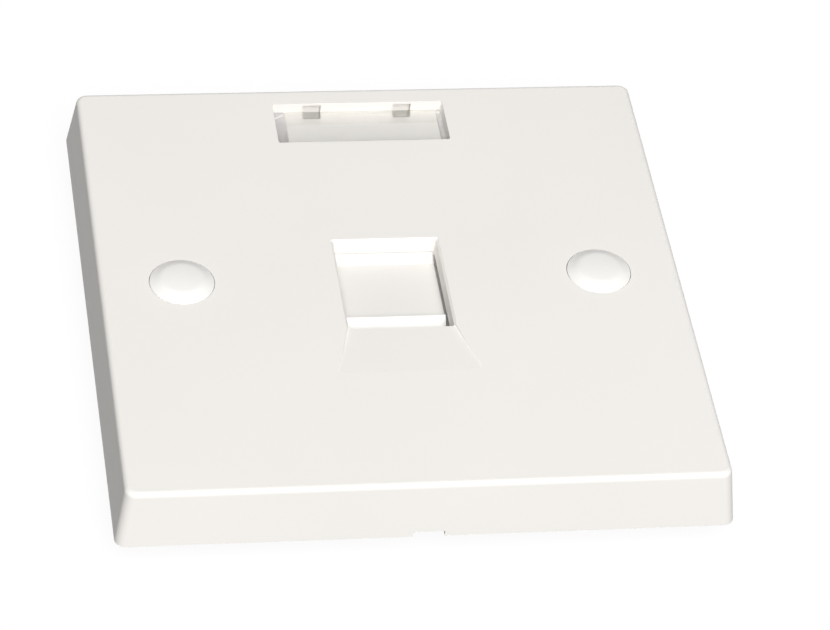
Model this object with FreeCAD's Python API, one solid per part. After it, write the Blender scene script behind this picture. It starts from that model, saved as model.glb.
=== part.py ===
import FreeCAD, Part
import math
import os

# Single-port keystone faceplate with a sliding shutter. Millimetres.
# X runs across the plate, Y up it, Z out of its face. Z = 0 is the rim that meets the wall.
V = FreeCAD.Vector
UP = V(0, 0, 1)

# plate: a shallow tray, drafted outwards towards the wall
PLATE_SIZE = 86.0          # at the rim
FACE_SIZE = 83.6           # at the face
PLATE_HEIGHT = 8.8
SKIN = 2.6                 # thickness behind the face
SKIRT = 1.9
CORNER_R = 1.6
FACE_EDGE_R = 0.8
PRY_WIDTH, PRY_HEIGHT = 4.4, 0.8   # screwdriver nick in the bottom rim
UNDER = PLATE_HEIGHT - SKIN        # height of the plate's inner surface
BOND = 0.3                         # how far a rib or boss is sunk into what carries it

# fixing screws, 60.3 mm apart, under domed caps
SCREW_X = 30.15
SCREW_HOLE_R = 2.1
SCREW_SEAT_Z = 3.0
SCREW_HEAD_R = 3.8
BOSS_R = 6.4
CAP_SEAT_R = 4.7
CAP_SEAT_Z = 7.3
CAP_R = 4.62
CAP_TOP_Z, CAP_DOME_R, CAP_EDGE_R = 9.85, 16.7, 0.6
CAP_STEM_R, CAP_STEM_WALL = 3.74, 0.8
CAP_STEM_Z = 4.6
CAP_SLIT = 1.1

# port: aperture, and the shallow relief that flares down from it
PORT_HALF = 7.45
PORT_DRAFT = 0.12          # each side wall leans out by this much
PORT_TOP, PORT_BOTTOM = 8.0, -10.3
PORT_CORNER_R = 0.35
PORT_EDGE, PORT_END_EDGE = 0.3, 0.2
RAMP_END = -19.3
RAMP_DEPTH, RAMP_END_DEPTH = 0.35, 0.08
RAMP_END_HALF = 10.3

# shutter
SHUTTER_HALF = 8.9
SHUTTER_TOP, SHUTTER_BOTTOM = 10.2, -11.8
SHUTTER_FRONT, SHUTTER_PANEL, SHUTTER_BACK = 6.0, 5.4, 3.6
SLOPE_TOP, PANEL_TOP, PANEL_BOTTOM = 8.05, 6.15, -4.9
RIDGE_Y, RIDGE_FLAT = -5.15, 0.25
RIDGE_FOOT_Y, APRON_Z = -7.2, 4.4
TRAVEL = 12.5
EAR_OUT, EAR_HEIGHT, EAR_FRONT = 12.9, 2.0, 5.9

# springs, one each side of the shutter
SPRING_X, SPRING_Z = 11.1, 4.8
SPRING_R, SPRING_WIRE_R = 1.1, 0.17
SPRING_TURNS, DEAD_TURNS = 7.0, 1.0
TURN_STEPS = 8
SPRING_TOP = 13.7
PEG_R, PEG_LENGTH = 0.7, 1.6
SIDES = (-1, 1)

# guide walls behind the plate
GUIDE_FOOT = 3.4           # where they meet the jack carrier
GUIDE_OUT, GUIDE_WALL = 13.05, 0.9
GUIDE_IN = 9.05
GUIDE_IN_WALL = 0.6
GUIDE_BOTTOM = -12.0
GUIDE_TOP = SHUTTER_TOP + TRAVEL + 0.2
INNER_GUIDE_FROM = 3.4
LEDGE_HEIGHT = 1.4

# jack carrier
JACK_Y = -1.2
JACK_HALF, JACK_HALF_HEIGHT = 7.45, 8.25
LUG_DEPTH, LUG_STEP = 4.0, 1.9
LATCH_DEPTH, LATCH_STEP = 6.5, 2.0
CARRIER_DEPTH = 9.9
CARRIER_WALL = 2.0
FLANGE_HALF, FLANGE_BOTTOM, FLANGE_TOP = 19.2, -15.6, 25.6
FLANGE_THICK, FLANGE_R = 1.6, 2.0
GUSSET_THICK, GUSSET_OUT = 1.4, 4.6

# carrier screws
TAPPING_POINTS = ((-16.2, -11.6), (16.2, -11.6), (-16.2, 21.6), (16.2, 21.6))
TAPPING_BOSS_R, PILOT_R, PILOT_TOP = 2.5, 0.95, 7.4
TAPPING_R, TAPPING_LENGTH = 0.93, 5.0
TAPPING_HEAD_R, TAPPING_BROW_R, TAPPING_HEAD_H = 2.0, 1.45, 1.4
TAPPING_CLEAR_R = 1.25
RECESS_ARM, RECESS_WIDTH, RECESS_DEPTH = 1.15, 0.55, 0.8

# label recess, card and clear cover; the cover sits to one side, which leaves room to prise it out
LABEL_Y = 34.2
LABEL_HALF, LABEL_HALF_HEIGHT = 12.85, 4.4
LABEL_FLOOR, LABEL_BACK = 6.5, 5.0
PRISE_FROM, PRISE_FLOOR = -11.1, 5.6         # sloping well beside the cover, for a fingernail
LABEL_WALL = 1.5
COVER_HALF, COVER_HALF_HEIGHT = 11.5, 4.25
COVER_X = 0.5
COVER_TOP, COVER_BOTTOM = 7.4, 6.7
COVER_EDGE = 0.15
CARD_HALF, CARD_HALF_HEIGHT = 11.3, 4.2
CARD_THICK = 0.18
CLIP_WIDTH, CLIP_THICK, CLIP_FOOT = 2.1, 0.6, 5.1
CLIP_SLOT, CLIP_SLOT_TOP, CLIP_SLOT_OUT = 2.7, 8.35, 0.95
CLIP_ROOM = 0.3            # free width round a clip leg, in the floor and in the card
UPPER_CLIPS, LOWER_CLIPS = 6.8, 5.0

# stiffening ribs behind the plate
RIB_THICK, RIB_FOOT = 1.2, 3.2


def block(x0, x1, y0, y1, z0, z1):
    return Part.makeBox(x1 - x0, y1 - y0, z1 - z0, V(x0, y0, z0))


def rod(x, y, z0, z1, r):
    return Part.makeCylinder(r, z1 - z0, V(x, y, z0))


def merged(first, others):
    return first.multiFuse(list(others)).removeSplitter()


def rounded_wire(x0, x1, y0, y1, r, z):
    """Closed outline of a rectangle with round corners, at height z."""
    quarter = math.sqrt(0.5) * r
    corners = ((x1 - r, y1 - r, 0), (x0 + r, y1 - r, 1), (x0 + r, y0 + r, 2), (x1 - r, y0 + r, 3))
    arcs = []
    for cx, cy, turn in corners:
        a = math.pi / 2 * turn
        along = V(math.cos(a), math.sin(a), 0)
        across = V(-math.sin(a), math.cos(a), 0)
        centre = V(cx, cy, z)
        arcs.append((centre + along * r, centre + (along + across) * quarter, centre + across * r))
    edges = []
    for k, (start, middle, end) in enumerate(arcs):
        edges.append(Part.Arc(start, middle, end).toShape())
        edges.append(Part.makeLine(end, arcs[(k + 1) % 4][0]))
    return Part.Wire(edges)


def rounded_block(x0, x1, y0, y1, z0, z1, r):
    return Part.Face(rounded_wire(x0, x1, y0, y1, r, z0)).extrude(V(0, 0, z1 - z0))


def prism_x(points, x0, x1):
    """Solid of a Y-Z outline, carried from x0 to x1."""
    ring = [V(x0, y, z) for y, z in points]
    return Part.Face(Part.makePolygon(ring + ring[:1])).extrude(V(x1 - x0, 0, 0))


def prism_y(points, y0, y1):
    """Solid of an X-Z outline, carried from y0 to y1."""
    ring = [V(x, y0, z) for x, z in points]
    return Part.Face(Part.makePolygon(ring + ring[:1])).extrude(V(0, y1 - y0, 0))


def edges_at(shape, z, inside=None):
    """Edges lying at height z, within the half-size given."""
    found = []
    for e in shape.Edges:
        b = e.BoundBox
        flat = abs(b.ZMin - z) < 1e-4 and abs(b.ZMax - z) < 1e-4
        if flat and (inside is None or max(abs(b.XMin), abs(b.XMax)) < inside):
            found.append(e)
    return found


def drafted_block(low_half, high_half, z0, z1, r):
    """Square block whose four sides lean inwards, with round corners."""
    side = [(-low_half, z0), (low_half, z0), (high_half, z1), (-high_half, z1)]
    solid = prism_x(side, -low_half, low_half).common(prism_y(side, -low_half, low_half))
    corners = [e for e in solid.Edges if e.BoundBox.ZLength > (z1 - z0) / 2]
    return solid.makeFillet(r, corners)


def tray():
    """The drafted plate, hollow behind, with its face edge rounded."""
    outer = drafted_block(PLATE_SIZE / 2, FACE_SIZE / 2, 0, PLATE_HEIGHT, CORNER_R)
    outer = outer.makeFillet(FACE_EDGE_R, edges_at(outer, PLATE_HEIGHT))
    lean = (PLATE_SIZE - FACE_SIZE) / 2 / PLATE_HEIGHT
    inner = drafted_block(PLATE_SIZE / 2 - SKIRT + lean, PLATE_SIZE / 2 - SKIRT - lean * UNDER,
                          -1, UNDER, CORNER_R / 2)
    nick = block(-PRY_WIDTH / 2, PRY_WIDTH / 2, -PLATE_SIZE / 2 - 1,
                 -PLATE_SIZE / 2 + SKIRT + 1, -1, PRY_HEIGHT)
    return outer.cut(inner).cut(nick)


def screw_bosses():
    return [rod(side * SCREW_X, 0, 0, UNDER + BOND, BOSS_R) for side in SIDES]


def cap_seats():
    """Stepped holes for a fixing screw, its head and the cap over it."""
    tools = []
    for side in SIDES:
        x = side * SCREW_X
        tools += [rod(x, 0, -1, PLATE_HEIGHT, SCREW_HOLE_R),
                  rod(x, 0, SCREW_SEAT_Z, PLATE_HEIGHT, SCREW_HEAD_R),
                  rod(x, 0, CAP_SEAT_Z, PLATE_HEIGHT + 1, CAP_SEAT_R)]
    return tools


def shutter_guides():
    """Walls that the shutter, its ears and its springs run between, with the spring stops."""
    out = GUIDE_OUT + GUIDE_WALL
    top = UNDER + BOND
    walls = [block(-out, out, GUIDE_BOTTOM - GUIDE_WALL, GUIDE_BOTTOM, GUIDE_FOOT, top),
             block(-out, out, GUIDE_TOP, GUIDE_TOP + GUIDE_WALL, GUIDE_FOOT, top)]
    for side in SIDES:
        for near, thick, low in ((GUIDE_OUT, GUIDE_WALL, GUIDE_BOTTOM - GUIDE_WALL),
                                 (GUIDE_IN, GUIDE_IN_WALL, INNER_GUIDE_FROM)):
            x = sorted((side * near, side * (near + thick)))
            walls.append(block(x[0], x[1], low, GUIDE_TOP + GUIDE_WALL, GUIDE_FOOT, top))
        x = sorted((side * GUIDE_IN, side * out))
        walls.append(block(x[0], x[1], SPRING_TOP, SPRING_TOP + LEDGE_HEIGHT, GUIDE_FOOT, top))
        walls.append(spring_peg(side * SPRING_X, SPRING_TOP + BOND, -1))
    return walls


def spring_peg(x, y, way):
    """Short peg along Y that keeps the end of a spring in place."""
    return Part.makeCylinder(PEG_R, PEG_LENGTH + BOND, V(x, y, SPRING_Z), V(0, way, 0))


def tapping_bosses():
    return [rod(x, y, GUIDE_FOOT, UNDER + BOND, TAPPING_BOSS_R) for x, y in TAPPING_POINTS]


def pilot_holes():
    return [rod(x, y, GUIDE_FOOT - 1, PILOT_TOP, PILOT_R) for x, y in TAPPING_POINTS]


def ribs():
    """Shallow ribs from the screw bosses to the skirt and to the guides."""
    reach = PLATE_SIZE / 2 - SKIRT - 0.2
    top = UNDER + BOND
    found = []
    for side in SIDES:
        x = side * SCREW_X
        for way in SIDES:
            y = sorted((way * (BOSS_R - 1), way * reach))
            found.append(block(x - RIB_THICK / 2, x + RIB_THICK / 2, y[0], y[1], RIB_FOOT, top))
        across = sorted((side * (SCREW_X + BOSS_R - 1), side * reach))
        found.append(block(across[0], across[1], -RIB_THICK / 2, RIB_THICK / 2, RIB_FOOT, top))
        inward = sorted((side * (GUIDE_OUT + GUIDE_WALL / 2), side * (SCREW_X - BOSS_R + 1)))
        found.append(block(inward[0], inward[1], -RIB_THICK / 2, RIB_THICK / 2, GUIDE_FOOT, top))
    return found


def label_box():
    """Thicker pad behind the face that the label recess is sunk into."""
    return block(-LABEL_HALF - LABEL_WALL, LABEL_HALF + LABEL_WALL,
                 LABEL_Y - LABEL_HALF_HEIGHT - LABEL_WALL, LABEL_Y + LABEL_HALF_HEIGHT + LABEL_WALL,
                 LABEL_BACK, UNDER + BOND)


def clip_places():
    """X and side (-1 lower edge, 1 upper edge) of the cover's four clips."""
    return [(side * x, way) for x, way in ((UPPER_CLIPS, 1), (LOWER_CLIPS, -1)) for side in SIDES]


def label_recess():
    """The recess, the slots for the cover's clips, and the well to prise the cover from."""
    low, high = LABEL_Y - LABEL_HALF_HEIGHT, LABEL_Y + LABEL_HALF_HEIGHT
    tools = [rounded_block(-LABEL_HALF, LABEL_HALF, low, high, LABEL_FLOOR, PLATE_HEIGHT + 1, 0.3)]
    for x, way in clip_places():
        edge = LABEL_Y + way * LABEL_HALF_HEIGHT
        y = sorted((edge + way * CLIP_SLOT_OUT, edge - way * (CLIP_THICK + CLIP_ROOM)))
        tools.append(block(x - CLIP_SLOT / 2, x + CLIP_SLOT / 2, y[0], y[1],
                           LABEL_BACK - 1, LABEL_FLOOR + 0.01))
        y = sorted((edge + way * CLIP_SLOT_OUT, edge - way * 0.1))
        tools.append(block(x - CLIP_SLOT / 2, x + CLIP_SLOT / 2, y[0], y[1],
                           LABEL_FLOOR, CLIP_SLOT_TOP))
    tools.append(prism_y([(-LABEL_HALF, PRISE_FLOOR), (PRISE_FROM, LABEL_FLOOR),
                          (PRISE_FROM, LABEL_FLOOR + 1), (-LABEL_HALF, LABEL_FLOOR + 1)], low, high))
    return tools


def port():
    """The aperture, with drafted sides and its face edge broken."""
    def ring(out, end_out, r, z):
        return rounded_wire(-PORT_HALF - out, PORT_HALF + out, PORT_BOTTOM - end_out,
                            PORT_TOP + end_out, r, z)
    wide = PORT_DRAFT + 2 * PORT_EDGE
    hole = Part.makeLoft([ring(0, 0, PORT_CORNER_R, UNDER - 0.01),
                          ring(PORT_DRAFT, 0, PORT_CORNER_R, PLATE_HEIGHT)], True, True)
    lip = Part.makeLoft([ring(PORT_DRAFT, 0, PORT_CORNER_R, PLATE_HEIGHT - PORT_EDGE),
                         ring(wide, 2 * PORT_END_EDGE, PORT_CORNER_R, PLATE_HEIGHT + PORT_EDGE)],
                        True, True)
    return [hole, lip]


def ramp():
    """The flared relief below the aperture, shallower towards its wide end."""
    def section(y, half_floor, half_face, depth):
        spread = (half_face - half_floor) / depth
        over = 0.5 * depth
        ring = [V(-half_floor, y, PLATE_HEIGHT - depth), V(half_floor, y, PLATE_HEIGHT - depth),
                V(half_face + spread * over, y, PLATE_HEIGHT + over),
                V(-half_face - spread * over, y, PLATE_HEIGHT + over)]
        return Part.makePolygon(ring + ring[:1])
    return Part.makeLoft([section(PORT_BOTTOM + 1, PORT_HALF, PORT_HALF + 0.05, RAMP_DEPTH),
                          section(RAMP_END, RAMP_END_HALF - 0.3, RAMP_END_HALF, RAMP_END_DEPTH)],
                         True, True)


def faceplate():
    plate = merged(tray(), screw_bosses() + shutter_guides() + tapping_bosses() + ribs()
                   + [label_box()])
    tools = cap_seats() + pilot_holes() + label_recess() + port() + [ramp()]
    for tool in tools:
        plate = plate.cut(tool)
    return plate.removeSplitter()


def shutter():
    """Sliding door: a sunk panel with a slope above it and a ramped ridge below that lifts it."""
    body = prism_x([(SHUTTER_BOTTOM, SHUTTER_BACK), (SHUTTER_TOP, SHUTTER_BACK),
                    (SHUTTER_TOP, SHUTTER_FRONT), (SLOPE_TOP, SHUTTER_FRONT),
                    (PANEL_TOP, SHUTTER_PANEL), (PANEL_BOTTOM, SHUTTER_PANEL),
                    (RIDGE_Y, SHUTTER_FRONT), (RIDGE_Y - RIDGE_FLAT, SHUTTER_FRONT),
                    (RIDGE_FOOT_Y, APRON_Z), (SHUTTER_BOTTOM, APRON_Z)],
                   -SHUTTER_HALF, SHUTTER_HALF)
    ears = []
    for side in SIDES:
        x = sorted((side * (SHUTTER_HALF - 1), side * EAR_OUT))
        ears.append(block(x[0], x[1], SHUTTER_BOTTOM, SHUTTER_BOTTOM + EAR_HEIGHT,
                          SHUTTER_BACK, EAR_FRONT))
        ears.append(spring_peg(side * SPRING_X, SHUTTER_BOTTOM + EAR_HEIGHT - BOND, 1))
    return merged(body, ears)


def spring(side):
    """Coil with closed ends between a shutter ear and its stop; the thin wire is six-sided."""
    foot = SHUTTER_BOTTOM + EAR_HEIGHT + SPRING_WIRE_R + 0.01
    head = SPRING_TOP - SPRING_WIRE_R - 0.01
    close = DEAD_TURNS * 2 * SPRING_WIRE_R * 1.05
    total = SPRING_TURNS + 2 * DEAD_TURNS
    sections = []
    for k in range(int(total * TURN_STEPS) + 1):
        turn = k / TURN_STEPS
        if turn <= DEAD_TURNS:
            y = foot + close * turn / DEAD_TURNS
        elif turn >= total - DEAD_TURNS:
            y = head - close * (total - turn) / DEAD_TURNS
        else:
            y = foot + close + (head - foot - 2 * close) * (turn - DEAD_TURNS) / SPRING_TURNS
        a = 2 * math.pi * turn
        outward, along = V(math.cos(a), 0, math.sin(a)), V(0, 1, 0)
        ring = []
        for corner in range(6):
            b = math.pi / 3 * corner
            ring.append(V(side * SPRING_X, y, SPRING_Z) + along * SPRING_WIRE_R * math.sin(b)
                        + outward * (SPRING_R + SPRING_WIRE_R * math.cos(b)))
        sections.append(Part.makePolygon(ring + ring[:1]))
    return Part.makeLoft(sections, True, True)


def jack_carrier():
    """Rear frame: a flange behind the shutter, and a deep pocket that the jack snaps into."""
    back = GUIDE_FOOT - CARRIER_DEPTH
    wall = CARRIER_WALL
    low = JACK_Y - JACK_HALF_HEIGHT - LUG_STEP - wall
    high = JACK_Y + JACK_HALF_HEIGHT + LATCH_STEP + wall
    flange = rounded_block(-FLANGE_HALF, FLANGE_HALF, FLANGE_BOTTOM, FLANGE_TOP,
                           GUIDE_FOOT - FLANGE_THICK, GUIDE_FOOT, FLANGE_R)
    frame = rounded_block(-JACK_HALF - wall, JACK_HALF + wall, low, high, back, GUIDE_FOOT, 0.8)
    gussets = []
    for side in SIDES:
        for y in (low + 4, high - 4):
            root, tip = side * (JACK_HALF + wall / 2), side * (JACK_HALF + wall + GUSSET_OUT)
            web = [(root, GUIDE_FOOT - 0.5), (tip, GUIDE_FOOT - 0.5), (tip, GUIDE_FOOT - FLANGE_THICK),
                   (side * (JACK_HALF + wall + 0.4), back + 2.5), (root, back + 2.5)]
            gussets.append(prism_y(web, y - GUSSET_THICK / 2, y + GUSSET_THICK / 2))
    body = merged(flange, [frame] + gussets)
    top, bottom = JACK_Y + JACK_HALF_HEIGHT, JACK_Y - JACK_HALF_HEIGHT
    tools = [block(-JACK_HALF, JACK_HALF, bottom, top, back - 1, GUIDE_FOOT + 1),
             block(-JACK_HALF, JACK_HALF, bottom - LUG_STEP, top, back - 1, GUIDE_FOOT - LUG_DEPTH),
             block(-JACK_HALF, JACK_HALF, bottom, top + LATCH_STEP, back - 1,
                   GUIDE_FOOT - LATCH_DEPTH)]
    tools += [rod(x, y, -1, GUIDE_FOOT + 1, TAPPING_CLEAR_R) for x, y in TAPPING_POINTS]
    for tool in tools:
        body = body.cut(tool)
    return body.removeSplitter()


def tapping_screw(x, y):
    """Blunt-ended, pan-head screw with a cross recess, driven towards the face."""
    seat = GUIDE_FOOT - FLANGE_THICK
    low, rim = seat - TAPPING_HEAD_H, seat - TAPPING_HEAD_H / 2
    brow = Part.makeCone(TAPPING_BROW_R, TAPPING_HEAD_R, rim - low, V(x, y, low))
    screw = merged(brow, [rod(x, y, rim, seat, TAPPING_HEAD_R),
                          rod(x, y, seat, seat + TAPPING_LENGTH, TAPPING_R)])
    half = RECESS_WIDTH / 2
    for wide, tall in ((RECESS_ARM, half), (half, RECESS_ARM)):
        screw = screw.cut(block(x - wide, x + wide, y - tall, y + tall, low - 1,
                                low + RECESS_DEPTH))
    return screw


def screw_cap(side):
    """Domed disc, standing just proud of the face, on a split, hollow stem."""
    x = side * SCREW_X
    low, crown = CAP_SEAT_Z + 0.02, CAP_TOP_Z - CAP_DOME_R
    # the rim is rounded first, then the crown follows one large radius in shallow steps
    rim = CAP_R - CAP_EDGE_R
    shoulder = crown + math.sqrt(CAP_DOME_R ** 2 - rim ** 2)
    outline = [(0, low), (CAP_R, low), (CAP_R, shoulder - CAP_EDGE_R),
               (CAP_R - CAP_EDGE_R * 0.13, shoulder - CAP_EDGE_R * 0.5),
               (CAP_R - CAP_EDGE_R * 0.45, shoulder - CAP_EDGE_R * 0.16)]
    for step in (1, 0.5, 0):
        outline.append((rim * step, crown + math.sqrt(CAP_DOME_R ** 2 - (rim * step) ** 2)))
    disc = Part.Face(Part.makePolygon([V(r, 0, z) for r, z in outline + outline[:1]]))
    disc = disc.revolve(V(0, 0, 0), V(0, 0, 1), 360)
    disc.translate(V(x, 0, 0))
    stem = rod(x, 0, CAP_STEM_Z, CAP_SEAT_Z + 2 * BOND, CAP_STEM_R)
    cap = merged(disc, [stem]).cut(rod(x, 0, CAP_STEM_Z - 1, CAP_SEAT_Z, CAP_STEM_R - CAP_STEM_WALL))
    half = CAP_SLIT / 2
    for wide, tall in ((CAP_R, half), (half, CAP_R)):
        cap = cap.cut(block(x - wide, x + wide, -tall, tall, CAP_STEM_Z - 1, CAP_SEAT_Z - 0.3))
    return cap.removeSplitter()


def label_cover():
    """Clear window with four clip legs that pass down through the recess floor."""
    low, high = LABEL_Y - COVER_HALF_HEIGHT, LABEL_Y + COVER_HALF_HEIGHT
    pane = rounded_block(COVER_X - COVER_HALF, COVER_X + COVER_HALF, low, high,
                         COVER_BOTTOM, COVER_TOP, 0.3)
    pane = pane.makeChamfer(COVER_EDGE, edges_at(pane, COVER_TOP))
    legs = []
    for x, way in clip_places():
        edge = LABEL_Y + way * COVER_HALF_HEIGHT
        y = sorted((edge, edge - way * CLIP_THICK))
        legs.append(block(x - CLIP_WIDTH / 2, x + CLIP_WIDTH / 2, y[0], y[1],
                          CLIP_FOOT, COVER_TOP - 0.4))
    return merged(pane, legs)


def label_card():
    """Paper card on the recess floor, notched round the cover's legs."""
    card = block(COVER_X - CARD_HALF, COVER_X + CARD_HALF, LABEL_Y - CARD_HALF_HEIGHT,
                 LABEL_Y + CARD_HALF_HEIGHT, LABEL_FLOOR, LABEL_FLOOR + CARD_THICK)
    half = CLIP_WIDTH / 2 + CLIP_ROOM
    for x, way in clip_places():
        edge = LABEL_Y + way * (CARD_HALF_HEIGHT + 1)
        y = sorted((edge, edge - way * (1 + CLIP_THICK + CLIP_ROOM)))
        card = card.cut(block(x - half, x + half, y[0], y[1], LABEL_FLOOR - 1, LABEL_FLOOR + 1))
    return card


def write(name, shape):
    shape.exportStep("parts/" + name + ".step")


os.makedirs("parts", exist_ok=True)
write("faceplate", faceplate())
write("shutter", shutter())
write("shutter_spring_left", spring(-1))
write("shutter_spring_right", spring(1))
write("jack_carrier", jack_carrier())
write("carrier_screws", Part.makeCompound([tapping_screw(x, y) for x, y in TAPPING_POINTS]))
write("screw_cap_left", screw_cap(-1))
write("screw_cap_right", screw_cap(1))
write("label_cover", label_cover())
write("label_card", label_card())
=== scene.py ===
import bpy
import math
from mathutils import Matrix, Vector


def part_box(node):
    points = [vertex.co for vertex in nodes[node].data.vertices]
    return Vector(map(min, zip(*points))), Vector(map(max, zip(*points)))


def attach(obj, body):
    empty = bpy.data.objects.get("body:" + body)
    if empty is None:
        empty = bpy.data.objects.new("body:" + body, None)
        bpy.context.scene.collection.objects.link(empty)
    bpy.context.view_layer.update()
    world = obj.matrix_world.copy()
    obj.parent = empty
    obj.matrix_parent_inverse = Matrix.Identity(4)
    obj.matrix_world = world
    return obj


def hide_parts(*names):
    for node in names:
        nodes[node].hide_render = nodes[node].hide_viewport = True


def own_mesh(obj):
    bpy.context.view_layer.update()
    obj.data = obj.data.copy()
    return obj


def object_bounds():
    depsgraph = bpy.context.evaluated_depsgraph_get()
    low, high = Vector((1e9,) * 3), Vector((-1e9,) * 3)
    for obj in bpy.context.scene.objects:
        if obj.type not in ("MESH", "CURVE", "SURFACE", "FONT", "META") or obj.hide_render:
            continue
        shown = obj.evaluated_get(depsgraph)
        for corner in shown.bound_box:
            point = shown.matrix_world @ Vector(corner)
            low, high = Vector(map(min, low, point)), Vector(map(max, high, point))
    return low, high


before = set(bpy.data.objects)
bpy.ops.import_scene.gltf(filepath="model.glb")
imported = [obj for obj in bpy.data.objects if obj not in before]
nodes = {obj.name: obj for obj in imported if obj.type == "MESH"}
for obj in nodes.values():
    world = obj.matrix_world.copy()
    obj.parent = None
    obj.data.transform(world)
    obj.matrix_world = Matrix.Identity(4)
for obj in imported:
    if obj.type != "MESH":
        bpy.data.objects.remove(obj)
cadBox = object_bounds()
mm = 0.001
smoothAngle = math.radians(32)      # edges sharper than this stay sharp on the moulded pieces
noiseRange = (0.3, 0.7)             # a noise hardly leaves this part of its 0 to 1
print("frame loaded:", ", ".join(sorted(nodes)))


# sRGB hex to the linear colour that the shader sockets take
def colour(hexText):
    channels = [int(hexText[i:i + 2], 16) / 255 for i in (1, 3, 5)]
    return [c / 12.92 if c <= 0.04045 else ((c + 0.055) / 1.055) ** 2.4 for c in channels] + [1.0]


# adds one node, with its settings, its socket values and what feeds its sockets
def addNode(tree, kind, values={}, feeds={}, **settings):
    node = tree.nodes.new(kind)
    for name, value in settings.items():
        setattr(node, name, value)
    for socket, value in values.items():
        node.inputs[socket].default_value = value
    for socket, source in feeds.items():
        tree.links.new(source, node.inputs[socket])
    return node


def newMaterial(name, values):
    material = bpy.data.materials.new(name)
    material.use_nodes = True
    tree = material.node_tree
    shader = tree.nodes["Principled BSDF"]
    for socket, value in values.items():
        shader.inputs[socket].default_value = value
    place = addNode(tree, "ShaderNodeTexCoord").outputs["Object"]
    return material, tree, shader, place


# a noise whose lumps are about sizeMm across
def noiseOf(tree, place, sizeMm, detail=2.0):
    noise = addNode(tree, "ShaderNodeTexNoise", {
        "Scale": 1.0 / (sizeMm * mm), "Detail": detail, "Roughness": 0.5}, {"Vector": place})
    return noise.outputs["Fac"]


# two close tones in soft patches, fed to the base colour
def blendTones(tree, shader, patches, darkHex, lightHex):
    ramp = addNode(tree, "ShaderNodeValToRGB", feeds={"Fac": patches})
    for stop, position, tone in zip(ramp.color_ramp.elements, noiseRange, (darkHex, lightHex)):
        stop.position = position
        stop.color = colour(tone)
    tree.links.new(ramp.outputs["Color"], shader.inputs["Base Color"])


def varyRoughness(tree, shader, patches, low, high):
    spread = addNode(tree, "ShaderNodeMapRange", {
        "From Min": noiseRange[0], "From Max": noiseRange[1], "To Min": low, "To Max": high},
        {"Value": patches})
    tree.links.new(spread.outputs["Result"], shader.inputs["Roughness"])


def addBump(tree, shader, height, depthMm, strength):
    bump = addNode(tree, "ShaderNodeBump", {"Distance": depthMm * mm, "Strength": strength},
                   {"Height": height})
    tree.links.new(bump.outputs["Normal"], shader.inputs["Normal"])


# every moulded white piece is the same ABS; the mould's polish differs from piece to piece, and the
# shutter's darker tone is painted shade
def mouldedAbs(name, look):
    material, tree, shader, place = newMaterial(name, {
        "IOR": 1.53, "Specular IOR Level": look["shine"]})
    flow = noiseOf(tree, place, look["flowMm"])
    grain = noiseOf(tree, place, look["grainMm"], 3.0)
    blendTones(tree, shader, flow, look["darkTone"], look["lightTone"])
    varyRoughness(tree, shader, grain, look["roughLow"], look["roughHigh"])
    addBump(tree, shader, grain, look["grainDepthMm"], look["grainStrength"])
    return material


# faceplate: white ABS from a fine satin mould, so highlights are broad and soft
plateLook = {
    "darkTone": "#F4F1EC", "lightTone": "#F6F3EF",
    "flowMm": 28.0,         # cloudiness left by the melt as it filled the mould
    "grainMm": 0.7,         # real grain is near 0.1 mm, drawn coarser so that it shows
    "grainDepthMm": 0.004, "grainStrength": 0.25,
    "roughLow": 0.4, "roughHigh": 0.48, "shine": 0.15}
plateMaterial = mouldedAbs("satin moulded ABS", plateLook)

# shutter: the same ABS from a smoother mould, because a plug slides over it; its tone is set darker
# than the plate's, a painted shade that keeps its lit slopes and ridge from clipping to white
shutterLook = {
    "darkTone": "#ECE9E5", "lightTone": "#EEECE8", "flowMm": 12.0,
    "grainMm": 0.5, "grainDepthMm": 0.002, "grainStrength": 0.2,
    "roughLow": 0.3, "roughHigh": 0.36, "shine": 0.4}
shutterMaterial = mouldedAbs("smooth moulded ABS", shutterLook)

# screw caps: polished domes, a little glossier than the plate
capLook = {
    "darkTone": "#F4F2EF", "lightTone": "#F6F5F2", "flowMm": 6.0,
    "grainMm": 0.5, "grainDepthMm": 0.001, "grainStrength": 0.05,
    "roughLow": 0.3, "roughHigh": 0.33, "shine": 0.3}
capMaterial = mouldedAbs("polished moulded ABS", capLook)

# jack carrier: spark-eroded mould behind the plate, left matt
carrierLook = {
    "darkTone": "#E6E6E4", "lightTone": "#EBEBE9", "flowMm": 16.0,
    "grainMm": 0.45, "grainDepthMm": 0.01, "grainStrength": 0.5,
    "roughLow": 0.55, "roughHigh": 0.65, "shine": 0.35}
carrierMaterial = mouldedAbs("matt moulded ABS", carrierLook)
print("ABS materials made")


# label cover: clear moulded polycarbonate; lamps reach the card through it
coverLook = {
    "tint": "#FBFBFA", "rough": 0.04,
    "straight": 0.75,       # a sheet this thin hardly bends what is seen through it
    "rippleMm": 3.5, "rippleDepthMm": 0.003, "rippleStrength": 0.3}


def clearPolycarbonate(name, look):
    material, tree, shader, place = newMaterial(name, {
        "Base Color": colour(look["tint"]), "Roughness": look["rough"], "IOR": 1.58,
        "Transmission Weight": 1.0})
    ripple = noiseOf(tree, place, look["rippleMm"])
    addBump(tree, shader, ripple, look["rippleDepthMm"], look["rippleStrength"])
    path = addNode(tree, "ShaderNodeLightPath")
    through = addNode(tree, "ShaderNodeBsdfTransparent", {"Color": colour(look["tint"])})
    lit = addNode(tree, "ShaderNodeMath", feeds={
        0: path.outputs["Is Shadow Ray"], 1: path.outputs["Is Diffuse Ray"]}, operation="MAXIMUM")
    share = addNode(tree, "ShaderNodeMath", {1: look["straight"]}, {0: lit.outputs[0]},
                    operation="MAXIMUM")
    mix = addNode(tree, "ShaderNodeMixShader", feeds={
        0: share.outputs[0], 1: shader.outputs["BSDF"], 2: through.outputs["BSDF"]})
    tree.links.new(mix.outputs["Shader"], tree.nodes["Material Output"].inputs["Surface"])
    return material
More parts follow.
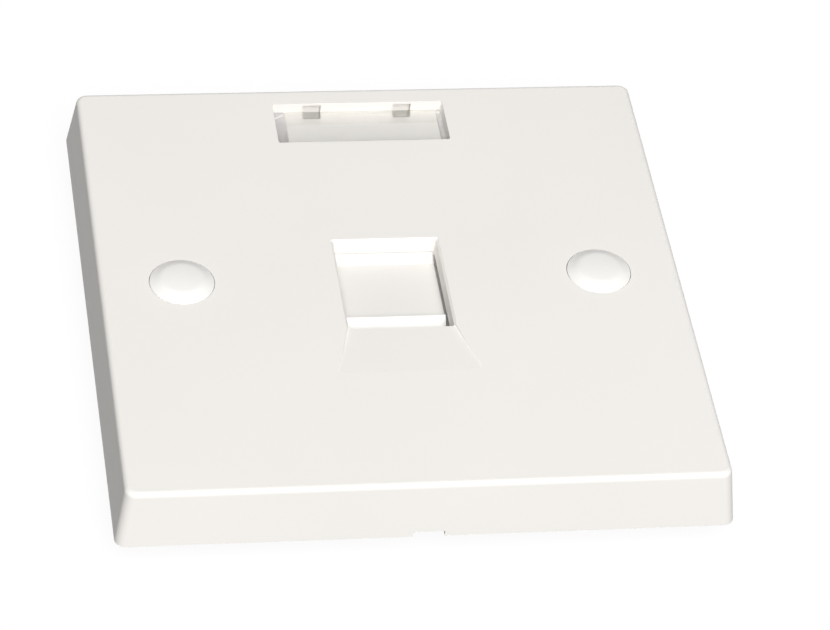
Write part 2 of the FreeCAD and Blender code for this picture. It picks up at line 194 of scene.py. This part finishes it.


# the cover's end bars: the same resin, with a greyer tint that is painted shade, standing in for light
# led away through their thickness
coverEndShadeLook = {
    "tint": "#F4F4F5", "rough": 0.08, "straight": 0.6,
    "rippleMm": 1.2, "rippleDepthMm": 0.01, "rippleStrength": 0.3}

# label card: smooth white paper, with just a trace of fibre
cardLook = {
    "darkTone": "#ECE9E7", "lightTone": "#F0EDEB",
    "fibreMm": 0.6, "fibreStretch": 0.5,     # fibres lie along X, twice as long as they are wide
    "fibreDepthMm": 0.02, "fibreStrength": 0.3, "roughLow": 0.7, "roughHigh": 0.85}


def paperCard(name, look):
    material, tree, shader, place = newMaterial(name, {"IOR": 1.45, "Specular IOR Level": 0.2})
    stretched = addNode(tree, "ShaderNodeMapping", {"Scale": (look["fibreStretch"], 1.0, 1.0)},
                        {"Vector": place})
    fibre = noiseOf(tree, stretched.outputs["Vector"], look["fibreMm"], 4.0)
    blendTones(tree, shader, fibre, look["darkTone"], look["lightTone"])
    varyRoughness(tree, shader, fibre, look["roughLow"], look["roughHigh"])
    addBump(tree, shader, fibre, look["fibreDepthMm"], look["fibreStrength"])
    return material


# springs and carrier screws: drawn wire is bright and streaked, zinc plate is duller and cloudy
wireLook = {
    "darkTone": "#9A9B9D", "lightTone": "#B9BABC", "patchMm": 0.5,
    "depthMm": 0.004, "bumpStrength": 0.3, "roughLow": 0.22, "roughHigh": 0.34}
zincLook = {
    "darkTone": "#B4B7BB", "lightTone": "#CDCFD1", "patchMm": 1.1,
    "depthMm": 0.006, "bumpStrength": 0.3, "roughLow": 0.28, "roughHigh": 0.42}


def bareMetal(name, look):
    material, tree, shader, place = newMaterial(name, {"Metallic": 1.0})
    patches = noiseOf(tree, place, look["patchMm"], 3.0)
    blendTones(tree, shader, patches, look["darkTone"], look["lightTone"])
    varyRoughness(tree, shader, patches, look["roughLow"], look["roughHigh"])
    addBump(tree, shader, patches, look["depthMm"], look["bumpStrength"])
    return material


coverMaterial = clearPolycarbonate("clear polycarbonate", coverLook)
coverEndShadeMaterial = clearPolycarbonate("clear polycarbonate bar", coverEndShadeLook)
cardMaterial = paperCard("white paper card", cardLook)
wireMaterial = bareMetal("drawn spring wire", wireLook)
zincMaterial = bareMetal("zinc-plated steel", zincLook)

finishes = {
    "faceplate": plateMaterial,
    "jack_carrier": carrierMaterial, "carrier_screws": zincMaterial,
    "label_cover": coverMaterial, "label_card": cardMaterial}
for name, material in finishes.items():
    mesh = nodes[name].data
    mesh.materials.clear()
    mesh.materials.append(material)
print("finishes on", len(finishes), "nodes")


def selectNothing():
    bpy.ops.object.select_all(action="DESELECT")


# takes a block, given by its lowest and highest corner, out of a piece
def cutBlock(piece, low, high):
    selectNothing()
    bpy.ops.mesh.primitive_cube_add(size=1)
    blade = bpy.context.object
    bpy.ops.object.mode_set(mode="EDIT")
    bpy.ops.transform.resize(value=[b - a for a, b in zip(low, high)])
    bpy.ops.transform.translate(value=[(a + b) / 2 for a, b in zip(low, high)])
    bpy.ops.object.mode_set(mode="OBJECT")
    selectNothing()
    piece.select_set(True)
    bpy.context.view_layer.objects.active = piece
    cut = piece.modifiers.new("cut", "BOOLEAN")
    cut.operation = "DIFFERENCE"
    cut.object = blade
    bpy.ops.object.modifier_apply(modifier=cut.name)
    bpy.data.objects.remove(blade)


# shutter door: between its head and its foot it stops short of the port's sides, and the gaps
# show dark; the ears for the springs stay on the foot
doorShape = {
    "halfWidth": 7.25 * mm, "cutTo": 9.1 * mm, "footTo": -9.7 * mm, "headFrom": 7.7 * mm,
    "spare": 1 * mm,        # how far the cuts run past the door's thickness
    "weld": 0.001 * mm}


def makeDoor(name, shape, node):
    low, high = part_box(node)
    door = bpy.data.objects.new(name, nodes[node].data.copy())
    bpy.context.collection.objects.link(door)
    selectNothing()
    door.select_set(True)
    bpy.context.view_layer.objects.active = door
    bpy.ops.object.mode_set(mode="EDIT")
    bpy.ops.mesh.select_all(action="SELECT")
    bpy.ops.mesh.remove_doubles(threshold=shape["weld"])
    bpy.ops.object.mode_set(mode="OBJECT")
    for side in (-1, 1):
        left, right = sorted((side * shape["halfWidth"], side * shape["cutTo"]))
        cutBlock(door, (left, shape["footTo"], low.z - shape["spare"]),
                 (right, shape["headFrom"], high.z + shape["spare"]))
    bpy.ops.object.shade_flat()
    door.data.materials.clear()
    door.data.materials.append(shutterMaterial)
    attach(door, node)
    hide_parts(node)


makeDoor("shutter_door", doorShape, "shutter")
print("shutter door made")


# screw caps: a shallow crown inside a sloping shoulder, on a hollow stem split in four
capShape = {
    "crownRadius": 21.0 * mm, "edgeRadius": 0.2 * mm,
    "shoulderFrom": 2.5 * mm, "shoulderTo": 3.6 * mm, "shoulderSlope": 27.0,
    "ringStep": 0.15 * mm, "edgeSteps": 5, "turnSteps": 96, "weld": 0.002 * mm,
    "stemLength": 2.7 * mm, "stemRadius": 3.74 * mm, "stemWall": 0.8 * mm,
    "slitWidth": 1.1 * mm, "slitHeight": 2.4 * mm}


# how steeply the top falls at this distance from the middle, in degrees
def capSlope(shape, reach):
    crown = math.degrees(min(reach, shape["shoulderFrom"]) / shape["crownRadius"])
    blend = (reach - shape["shoulderFrom"]) / (shape["shoulderTo"] - shape["shoulderFrom"])
    blend = min(max(blend, 0.0), 1.0)
    eased = blend * blend * (3 - 2 * blend)
    return crown + (shape["shoulderSlope"] - crown) * eased


# half of the cap's section, from the top of the crown round to the middle of its underside
def capOutline(shape, radius, foot, top):
    edge = shape["edgeRadius"]
    outline = [(0.0, top)]
    steps = round((radius - edge) / shape["ringStep"])
    step = (radius - edge) / steps
    for i in range(steps):
        fall = step * math.tan(math.radians(capSlope(shape, (i + 0.5) * step)))
        outline.append(((i + 1) * step, outline[-1][1] - fall))
    lean = math.radians(shape["shoulderSlope"])
    reach, height = outline[-1]
    for i in range(1, shape["edgeSteps"] + 1):
        angle = lean + (math.pi / 2 - lean) * i / shape["edgeSteps"]
        outline.append((reach + edge * (math.sin(angle) - math.sin(lean)) / (1 - math.sin(lean)),
                        height - edge * (math.cos(lean) - math.cos(angle))))
    under = foot + shape["stemLength"]
    bore = shape["stemRadius"] - shape["stemWall"]
    return outline + [(radius, under), (shape["stemRadius"], under), (shape["stemRadius"], foot),
                      (bore, foot), (bore, under), (0.0, under)]


def makeCap(name, shape, node):
    low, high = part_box(node)
    middle = (low.x + high.x) / 2
    outline = capOutline(shape, (high.x - low.x) / 2, low.z, high.z)
    selectNothing()
    bpy.ops.mesh.primitive_plane_add(size=1 * mm)
    cap = bpy.context.object
    bpy.ops.object.mode_set(mode="EDIT")
    bpy.ops.mesh.merge(type="CENTER")
    bpy.ops.transform.translate(value=(outline[0][0], 0, outline[0][1]))
    for (r0, z0), (r1, z1) in zip(outline, outline[1:]):
        bpy.ops.mesh.extrude_vertices_move(TRANSFORM_OT_translate={"value": (r1 - r0, 0, z1 - z0)})
    bpy.ops.mesh.select_all(action="SELECT")
    bpy.ops.mesh.spin(steps=shape["turnSteps"], angle=math.tau, center=(0, 0, 0), axis=(0, 0, 1))
    bpy.ops.mesh.select_all(action="SELECT")
    bpy.ops.mesh.remove_doubles(threshold=shape["weld"])
    bpy.ops.mesh.normals_make_consistent(inside=False)
    bpy.ops.object.mode_set(mode="OBJECT")
    # two crossed slits leave four legs that spring into the plate's seat
    long, wide, deep = 2 * shape["stemRadius"], shape["slitWidth"] / 2, shape["slitHeight"]
    for x, y in ((long, wide), (wide, long)):
        cutBlock(cap, (-x, -y, low.z - deep), (x, y, low.z + deep))
    bpy.ops.object.mode_set(mode="EDIT")
    bpy.ops.mesh.select_all(action="SELECT")
    bpy.ops.transform.translate(value=(middle, 0, 0))
    bpy.ops.object.mode_set(mode="OBJECT")
    bpy.ops.object.shade_smooth_by_angle(angle=smoothAngle)
    cap.name = name
    cap.data.materials.append(capMaterial)
    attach(cap, node)
    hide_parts(node)


makeCap("domed_cap_left", capShape, "screw_cap_left")
makeCap("domed_cap_right", capShape, "screw_cap_right")
print("screw caps made")


# label cover's end bars: they fill the recess beside the pane, and the left one follows the
# sloping well
coverEnds = {
    "recessHalf": 12.85 * mm, "gap": 0.15 * mm, "topStep": 0.06 * mm,
    "edge": 0.12 * mm, "edgeSegments": 3, "near": 0.01 * mm,
    "left": {"outerDepth": 1.5 * mm, "innerDepth": 0.7 * mm},
    "right": {"outerDepth": 0.75 * mm, "innerDepth": 0.75 * mm}}


def makeCoverEnd(name, shape, side):
    low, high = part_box("label_cover")
    depths = shape["left" if side < 0 else "right"]
    inner = low.x if side < 0 else high.x
    outer = side * (shape["recessHalf"] - shape["gap"])
    top = high.z - shape["topStep"]
    selectNothing()
    bpy.ops.mesh.primitive_cube_add(size=1)
    bar = bpy.context.object
    bpy.ops.object.mode_set(mode="EDIT")
    bpy.ops.transform.resize(value=(abs(outer - inner), high.y - low.y, depths["outerDepth"]))
    bpy.ops.transform.translate(value=(
        (outer + inner) / 2, (low.y + high.y) / 2, top - depths["outerDepth"] / 2))
    bpy.ops.mesh.select_all(action="DESELECT")
    bpy.ops.object.mode_set(mode="OBJECT")
    for corner in bar.data.vertices:      # the bottom edge beside the pane
        besidePane = abs(corner.co.x - inner) < shape["near"]
        corner.select = besidePane and corner.co.z < top - shape["near"]
    bpy.ops.object.mode_set(mode="EDIT")
    bpy.ops.transform.translate(value=(0, 0, depths["outerDepth"] - depths["innerDepth"]))
    bpy.ops.object.mode_set(mode="OBJECT")
    rounding = bar.modifiers.new("rounding", "BEVEL")
    rounding.width = shape["edge"]
    rounding.segments = shape["edgeSegments"]
    bpy.ops.object.modifier_apply(modifier=rounding.name)
    bpy.ops.object.shade_smooth_by_angle(angle=smoothAngle)
    bar.name = name
    bar.data.materials.append(coverEndShadeMaterial)
    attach(bar, "label_cover")


makeCoverEnd("cover_bar_left", coverEnds, -1)
makeCoverEnd("cover_bar_right", coverEnds, 1)
print("cover bars made")


# shutter springs: round wire, a closed turn at each end and open turns between
springShape = {
    "wireRadius": 0.17 * mm, "openTurns": 7, "sides": 10, "stepsPerTurn": 28,
    "closedPitch": 2.1,     # wire radii from one closed turn to the next
    "weld": 0.05,           # in wire radii
    "smoothAngle": math.radians(50)}


# a wire ring swept round and along the coil's axis, which runs through the origin along Y
def coilPart(shape, coilRadius, startY, pitch, turns):
    selectNothing()
    bpy.ops.mesh.primitive_circle_add(vertices=shape["sides"], radius=shape["wireRadius"])
    part = bpy.context.object
    bpy.ops.object.mode_set(mode="EDIT")
    bpy.ops.transform.translate(value=(coilRadius, startY, 0))
    bpy.ops.object.mode_set(mode="OBJECT")
    sweep = part.modifiers.new("sweep", "SCREW")
    sweep.axis = "Y"
    sweep.angle = math.tau
    sweep.screw_offset = pitch
    sweep.iterations = turns
    sweep.steps = sweep.render_steps = shape["stepsPerTurn"]
    sweep.use_merge_vertices = True
    bpy.ops.object.modifier_apply(modifier=sweep.name)
    return part


def makeSpring(name, shape, node):
    low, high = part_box(node)
    centre = (low + high) / 2
    radius = (high.z - low.z) / 2 - shape["wireRadius"]
    closed = shape["closedPitch"] * shape["wireRadius"]
    first, last = low.y + shape["wireRadius"], high.y - shape["wireRadius"]
    pitch = (last - first - 2 * closed) / shape["openTurns"]
    parts = [coilPart(shape, radius, first, closed, 1),
             coilPart(shape, radius, first + closed, pitch, shape["openTurns"]),
             coilPart(shape, radius, last - closed, closed, 1)]
    selectNothing()
    for part in parts:
        part.select_set(True)
    bpy.context.view_layer.objects.active = parts[0]
    bpy.ops.object.join()
    spring = bpy.context.object
    bpy.ops.object.mode_set(mode="EDIT")
    bpy.ops.mesh.select_all(action="SELECT")
    bpy.ops.mesh.remove_doubles(threshold=shape["weld"] * shape["wireRadius"])
    bpy.ops.mesh.select_all(action="DESELECT")
    bpy.ops.mesh.select_non_manifold()
    bpy.ops.mesh.edge_face_add()          # closes the two cut ends of the wire
    bpy.ops.mesh.select_all(action="SELECT")
    bpy.ops.mesh.normals_make_consistent(inside=False)
    bpy.ops.transform.translate(value=(centre.x, 0, centre.z))
    bpy.ops.object.mode_set(mode="OBJECT")
    bpy.ops.object.shade_smooth_by_angle(angle=shape["smoothAngle"])
    spring.name = name
    spring.data.materials.append(wireMaterial)
    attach(spring, "plate")
    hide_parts(node)
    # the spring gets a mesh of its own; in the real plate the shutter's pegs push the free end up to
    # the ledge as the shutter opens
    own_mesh(spring)


makeSpring("coil_left", springShape, "shutter_spring_left")
makeSpring("coil_right", springShape, "shutter_spring_right")
print("springs made")


# studio: pale floor under the carrier, white wherever the camera or a reflection looks, but for a
# painted shadow under the plate
studio = {
    "floorSize": 4.0, "floorTone": "#585858", "floorLift": 0.92,
    # the painted shadow under the plate fades out between these shares of its half width
    "shadeFrom": 0.66, "shadeTo": 0.82,      # shares of the plate's half width
    "ambient": 0.17,
    "keySize": 1.3, "keyDistance": 2.5, "keyLevel": 1.17,
    "keyFrom": (-0.02, -0.69, 0.72)}


# 1 for the rays that should meet white: the camera's, and those that mirror it or let it through
def whiteRays(tree):
    path = addNode(tree, "ShaderNodeLightPath")
    seen = addNode(tree, "ShaderNodeMath", feeds={
        0: path.outputs["Is Camera Ray"], 1: path.outputs["Is Glossy Ray"]}, operation="ADD")
    white = addNode(tree, "ShaderNodeMath", feeds={
        0: seen.outputs[0], 1: path.outputs["Is Transmission Ray"]}, operation="ADD", use_clamp=True)
    # a ray that has already met a matt surface, at depth 1 or more, gets the plain level
    direct = addNode(tree, "ShaderNodeMath", {1: 0.5}, {0: path.outputs["Diffuse Depth"]},
                     operation="LESS_THAN")
    both = addNode(tree, "ShaderNodeMath", feeds={0: white.outputs[0], 1: direct.outputs[0]},
                   operation="MULTIPLY")
    return both.outputs[0]


def makeFloor(look):
    selectNothing()
    bpy.ops.mesh.primitive_plane_add(size=look["floorSize"])
    floor = bpy.context.object
    floor.name = "floor"
    bpy.ops.object.mode_set(mode="EDIT")
    bpy.ops.transform.translate(value=(0, 0, cadBox[0].z))
    bpy.ops.object.mode_set(mode="OBJECT")
    material = bpy.data.materials.new("pale studio paper")
    material.use_nodes = True
    tree = material.node_tree
    tree.nodes.remove(tree.nodes["Principled BSDF"])
    paper = addNode(tree, "ShaderNodeBsdfDiffuse", {"Color": colour(look["floorTone"])})
    # painted shadow: the white lift is masked off where the plate covers the paper, which there shows
    # only its own dim tone under the lamps
    place = addNode(tree, "ShaderNodeTexCoord").outputs["Object"]
    spread = addNode(tree, "ShaderNodeVectorMath", feeds={0: place}, operation="ABSOLUTE")
    apart = addNode(tree, "ShaderNodeSeparateXYZ", feeds={0: spread.outputs["Vector"]})
    away = addNode(tree, "ShaderNodeMath", feeds={0: apart.outputs["X"], 1: apart.outputs["Y"]},
                   operation="MAXIMUM")
    halfWidth = cadBox[1].x
    clear = addNode(tree, "ShaderNodeMapRange", {
        "From Min": look["shadeFrom"] * halfWidth, "From Max": look["shadeTo"] * halfWidth,
        "To Max": look["floorLift"]}, {"Value": away.outputs[0]}, interpolation_type="SMOOTHSTEP")
    level = addNode(tree, "ShaderNodeMath", feeds={
        0: whiteRays(tree), 1: clear.outputs["Result"]}, operation="MULTIPLY")
    lift = addNode(tree, "ShaderNodeEmission", {"Color": (1, 1, 1, 1)}, {"Strength": level.outputs[0]})
    both = addNode(tree, "ShaderNodeAddShader", feeds={
        0: paper.outputs["BSDF"], 1: lift.outputs["Emission"]})
    tree.links.new(both.outputs["Shader"], tree.nodes["Material Output"].inputs["Surface"])
    floor.data.materials.append(material)


def makeWorld(look):
    world = bpy.data.worlds.new("studio")
    bpy.context.scene.world = world
    world.use_nodes = True
    tree = world.node_tree
    level = addNode(tree, "ShaderNodeMapRange", {"To Min": look["ambient"], "To Max": 1.0},
                    {"Value": whiteRays(tree)})
    background = tree.nodes["Background"]
    background.inputs["Color"].default_value = (1, 1, 1, 1)
    tree.links.new(level.outputs["Result"], background.inputs["Strength"])


# a lamp that lights a surface facing it at the given level, where 1 shows a colour as written
def makeSoftbox(name, direction, distance, size, level, target):
    lamp = bpy.data.lights.new(name, "AREA")
    lamp.shape = "SQUARE"
    lamp.size = size
    lamp.energy = level * (math.pi * distance) ** 2
    box = bpy.data.objects.new(name, lamp)
    bpy.context.collection.objects.link(box)
    toLamp = Vector(direction).normalized()
    box.location = target + toLamp * distance
    box.rotation_euler = toLamp.to_track_quat("Z", "Y").to_euler()


# camera: long lens, a little left of centre, looking down on the face
view = {
    "place": (-0.0932, -0.4251, 0.4004), "turn": (47.30, -5.28, -8.03),
    "lens": 177.8, "sensorWidth": 36.0}


def makeCamera(look):
    camera = bpy.data.cameras.new("camera")
    camera.lens = look["lens"]
    camera.sensor_width = look["sensorWidth"]
    holder = bpy.data.objects.new("camera", camera)
    bpy.context.collection.objects.link(holder)
    holder.location = look["place"]
    holder.rotation_euler = [math.radians(a) for a in look["turn"]]
    bpy.context.scene.camera = holder


makeFloor(studio)
makeWorld(studio)
makeSoftbox("key softbox", studio["keyFrom"], studio["keyDistance"], studio["keySize"],
            studio["keyLevel"], Vector((0, 0, cadBox[1].z)))
makeCamera(view)
bpy.context.scene.view_settings.view_transform = "Standard"
print("studio ready")
